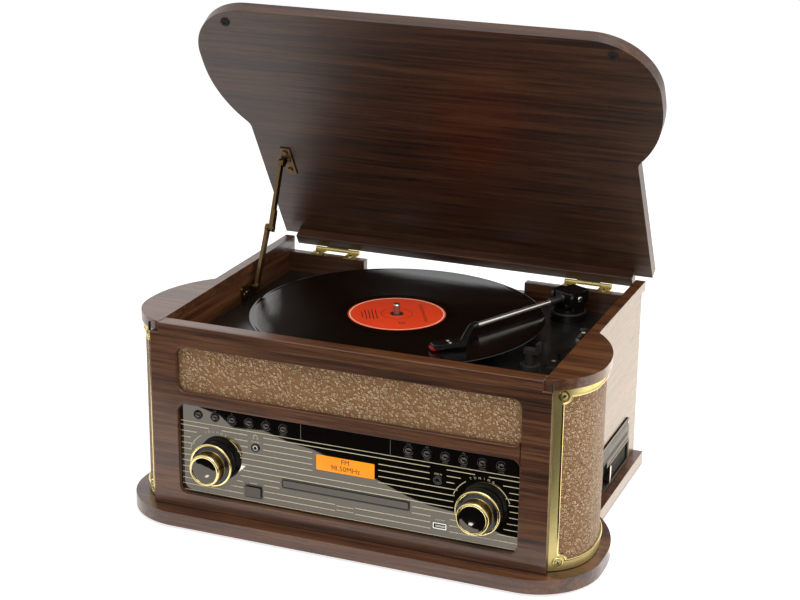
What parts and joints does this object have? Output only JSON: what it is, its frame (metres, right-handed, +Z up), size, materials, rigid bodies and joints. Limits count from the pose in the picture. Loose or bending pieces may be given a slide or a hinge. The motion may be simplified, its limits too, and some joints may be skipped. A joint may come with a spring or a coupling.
{
  "type": "stereo music centre",
  "caption": "Wooden stereo music centre with a record player under a hinged lid, front controls, a disc drawer, a side cassette slot and curved speaker grilles.",
  "frame": {"origin": "on the floor under the middle of the whole object's box with the lid open", "axes": "+X to the viewer's right, +Y to the back, +Z up"},
  "size_m": [0.49, 0.3568, 0.4946],
  "materials": {
    "walnut": "satin",
    "dark_walnut": "satin",
    "rubber": "matte",
    "grille_cloth": "woven",
    "gold_trim": "satin",
    "old_brass": "aged",
    "fascia_black": "gloss",
    "circuit_board": "matte",
    "nickel": "bright",
    "steel": "brushed",
    "knob_black": "gloss",
    "button_black": "gloss",
    "deck_black": "satin",
    "record_vinyl": "gloss",
    "platter_metal": "cast",
    "arm_black": "satin",
    "arm_metal": "bright",
    "cassette_metal": "satin",
    "inner_black": "matte",
    "drawer_black": "satin"
  },
  "bodies": {
    "cabinet": {"plinth": "walnut", "feet": "rubber", "front_panel": "walnut", "left_side_panel": "walnut", "right_side_panel": "walnut", "rear_panel": "dark_walnut", "cap_boards": "walnut", "grille_shells": "inner_black", "grille_cloths": "grille_cloth", "grille_frames": "gold_trim", "front_speaker_cloth": "grille_cloth", "fascia": "fascia_black", "display_board": "circuit_board", "front_sockets": "nickel", "disc_loader": "steel", "speaker_drivers": "inner_black", "cassette_plate": "cassette_metal", "cassette_mechanism": "steel", "deck_plate": "deck_black", "deck_motor": "steel", "tonearm_base": "deck_black", "arm_rest": "deck_black", "transformer": "steel", "rear_terminals": "inner_black", "screws": "gold_trim", "hinge_lower_leaves": "gold_trim", "stay_lower_bracket": "old_brass"},
    "lid": {"lid_board": "walnut", "lid_batten": "walnut", "lid_bumpers": "rubber", "hinge_upper_leaves": "gold_trim", "stay_upper_bracket": "old_brass"},
    "stay_lower": {"stay_lower_arm": "old_brass"},
    "stay_upper": {"stay_upper_arm": "old_brass"},
    "turntable": {"platter": "platter_metal", "record": "record_vinyl"},
    "pulley": {"motor_pulley": "steel"},
    "arm_pillar": {"arm_turret": "arm_black"},
    "arm": {"arm_tube": "arm_metal", "headshell": "arm_black"},
    "cue": {"cue_lever": "steel"},
    "speed": {"speed_selector": "deck_black"},
    "volume": {"volume_knob": "knob_black"},
    "tuning": {"tuning_knob": "knob_black"},
    "power": {"power_button": "button_black"},
    "drawer": {"disc_drawer": "drawer_black"},
    "flap": {"cassette_flap": "inner_black"},
    "eject": {"eject_lever": "steel"},
    "key_1": {"button_1": "button_black"},
    "key_2": {"button_2": "button_black"},
    "key_3": {"button_3": "button_black"},
    "key_4": {"button_4": "button_black"},
    "key_5": {"button_5": "button_black"},
    "key_6": {"button_6": "button_black"},
    "key_7": {"button_7": "button_black"},
    "key_8": {"button_8": "button_black"},
    "key_9": {"button_9": "button_black"},
    "key_10": {"button_10": "button_black"},
    "key_11": {"button_11": "button_black"},
    "key_12": {"button_12": "button_black"}
  },
  "joints": [
    {"name": "lid_hinge", "type": "hinge", "parent": "cabinet", "child": "lid", "pos_m": [0, 0.1575, 0.1977], "axis": [1, 0, 0], "range_deg": [0, 58.8]},
    {"name": "stay_lower_pivot", "type": "hinge", "parent": "cabinet", "child": "stay_lower", "pos_m": [-0.1904, 0.046, 0.1837], "axis": [1, 0, 0], "range_deg": [-43, 0]},
    {"name": "stay_upper_pivot", "type": "hinge", "parent": "lid", "child": "stay_upper", "pos_m": [-0.1865, 0.10198, 0.30752], "axis": [1, 0, 0], "range_deg": [0, 52.6]},
    {"name": "platter_spin", "type": "hinge", "parent": "cabinet", "child": "turntable", "pos_m": [-0.0134, 0.0083, 0.18], "axis": [0, 0, 1], "continuous": true},
    {"name": "pulley_spin", "type": "hinge", "parent": "cabinet", "child": "pulley", "pos_m": [-0.09045, -0.01975, 0.17], "axis": [0, 0, 1], "continuous": true},
    {"name": "arm_swing", "type": "hinge", "parent": "cabinet", "child": "arm_pillar", "pos_m": [0.137, 0.112, 0.18], "axis": [0, 0, 1], "range_deg": [-16.7, 25.8]},
    {"name": "arm_lift", "type": "hinge", "parent": "arm_pillar", "child": "arm", "pos_m": [0.137, 0.112, 0.197], "axis": [-0.9063, 0.4226, 0], "range_deg": [0, 3.4]},
    {"name": "cue_turn", "type": "hinge", "parent": "cabinet", "child": "cue", "pos_m": [0.17, 0.062, 0.173], "axis": [0, 0, 1], "range_deg": [0, 40]},
    {"name": "speed_turn", "type": "hinge", "parent": "cabinet", "child": "speed", "pos_m": [0.172, -0.006, 0.173], "axis": [0, 0, 1], "range_deg": [-35, 35]},
    {"name": "volume_turn", "type": "hinge", "parent": "cabinet", "child": "volume", "pos_m": [-0.1385, -0.154, 0.0702], "axis": [0, -1, 0], "range_deg": [-140, 140]},
    {"name": "tuning_turn", "type": "hinge", "parent": "cabinet", "child": "tuning", "pos_m": [0.1385, -0.154, 0.0702], "axis": [0, -1, 0], "continuous": true},
    {"name": "power_press", "type": "slide", "parent": "cabinet", "child": "power", "axis": [0, 1, 0], "range_m": [0, 0.0025], "stiffness_N_per_m": 400, "springref_m": -0.001},
    {"name": "key_1_press", "type": "slide", "parent": "cabinet", "child": "key_1", "axis": [0, 1, 0], "range_m": [0, 0.0018], "stiffness_N_per_m": 400, "springref_m": -0.001},
    {"name": "key_2_press", "type": "slide", "parent": "cabinet", "child": "key_2", "axis": [0, 1, 0], "range_m": [0, 0.0018], "stiffness_N_per_m": 400, "springref_m": -0.001},
    {"name": "key_3_press", "type": "slide", "parent": "cabinet", "child": "key_3", "axis": [0, 1, 0], "range_m": [0, 0.0018], "stiffness_N_per_m": 400, "springref_m": -0.001},
    {"name": "key_4_press", "type": "slide", "parent": "cabinet", "child": "key_4", "axis": [0, 1, 0], "range_m": [0, 0.0018], "stiffness_N_per_m": 400, "springref_m": -0.001},
    {"name": "key_5_press", "type": "slide", "parent": "cabinet", "child": "key_5", "axis": [0, 1, 0], "range_m": [0, 0.0018], "stiffness_N_per_m": 400, "springref_m": -0.001},
    {"name": "key_6_press", "type": "slide", "parent": "cabinet", "child": "key_6", "axis": [0, 1, 0], "range_m": [0, 0.0018], "stiffness_N_per_m": 400, "springref_m": -0.001},
    {"name": "key_7_press", "type": "slide", "parent": "cabinet", "child": "key_7", "axis": [0, 1, 0], "range_m": [0, 0.0018], "stiffness_N_per_m": 400, "springref_m": -0.001},
    {"name": "key_8_press", "type": "slide", "parent": "cabinet", "child": "key_8", "axis": [0, 1, 0], "range_m": [0, 0.0018], "stiffness_N_per_m": 400, "springref_m": -0.001},
    {"name": "key_9_press", "type": "slide", "parent": "cabinet", "child": "key_9", "axis": [0, 1, 0], "range_m": [0, 0.0018], "stiffness_N_per_m": 400, "springref_m": -0.001},
    {"name": "key_10_press", "type": "slide", "parent": "cabinet", "child": "key_10", "axis": [0, 1, 0], "range_m": [0, 0.0018], "stiffness_N_per_m": 400, "springref_m": -0.001},
    {"name": "key_11_press", "type": "slide", "parent": "cabinet", "child": "key_11", "axis": [0, 1, 0], "range_m": [0, 0.0018], "stiffness_N_per_m": 400, "springref_m": -0.001},
    {"name": "key_12_press", "type": "slide", "parent": "cabinet", "child": "key_12", "axis": [0, 1, 0], "range_m": [0, 0.0018], "stiffness_N_per_m": 400, "springref_m": -0.001},
    {"name": "drawer_slide", "type": "slide", "parent": "cabinet", "child": "drawer", "axis": [0, -1, 0], "range_m": [0, 0.115]},
    {"name": "flap_pivot", "type": "hinge", "parent": "cabinet", "child": "flap", "pos_m": [0.2019, 0.089, 0.04], "axis": [0, 1, 0], "range_deg": [0, 80], "stiffness_Nm_per_rad": 0.004, "springref_deg": -17.19},
    {"name": "eject_press", "type": "slide", "parent": "cabinet", "child": "eject", "axis": [-1, 0, 0], "range_m": [0, 0.005], "stiffness_N_per_m": 400, "springref_m": -0.001}
  ],
  "couplings": [
    {"joint": "stay_lower_pivot", "follows": "lid_hinge", "ratio": -0.7298},
    {"joint": "stay_upper_pivot", "follows": "lid_hinge", "ratio": 0.8929},
    {"joint": "pulley_spin", "follows": "platter_spin", "ratio": 12}
  ]
}
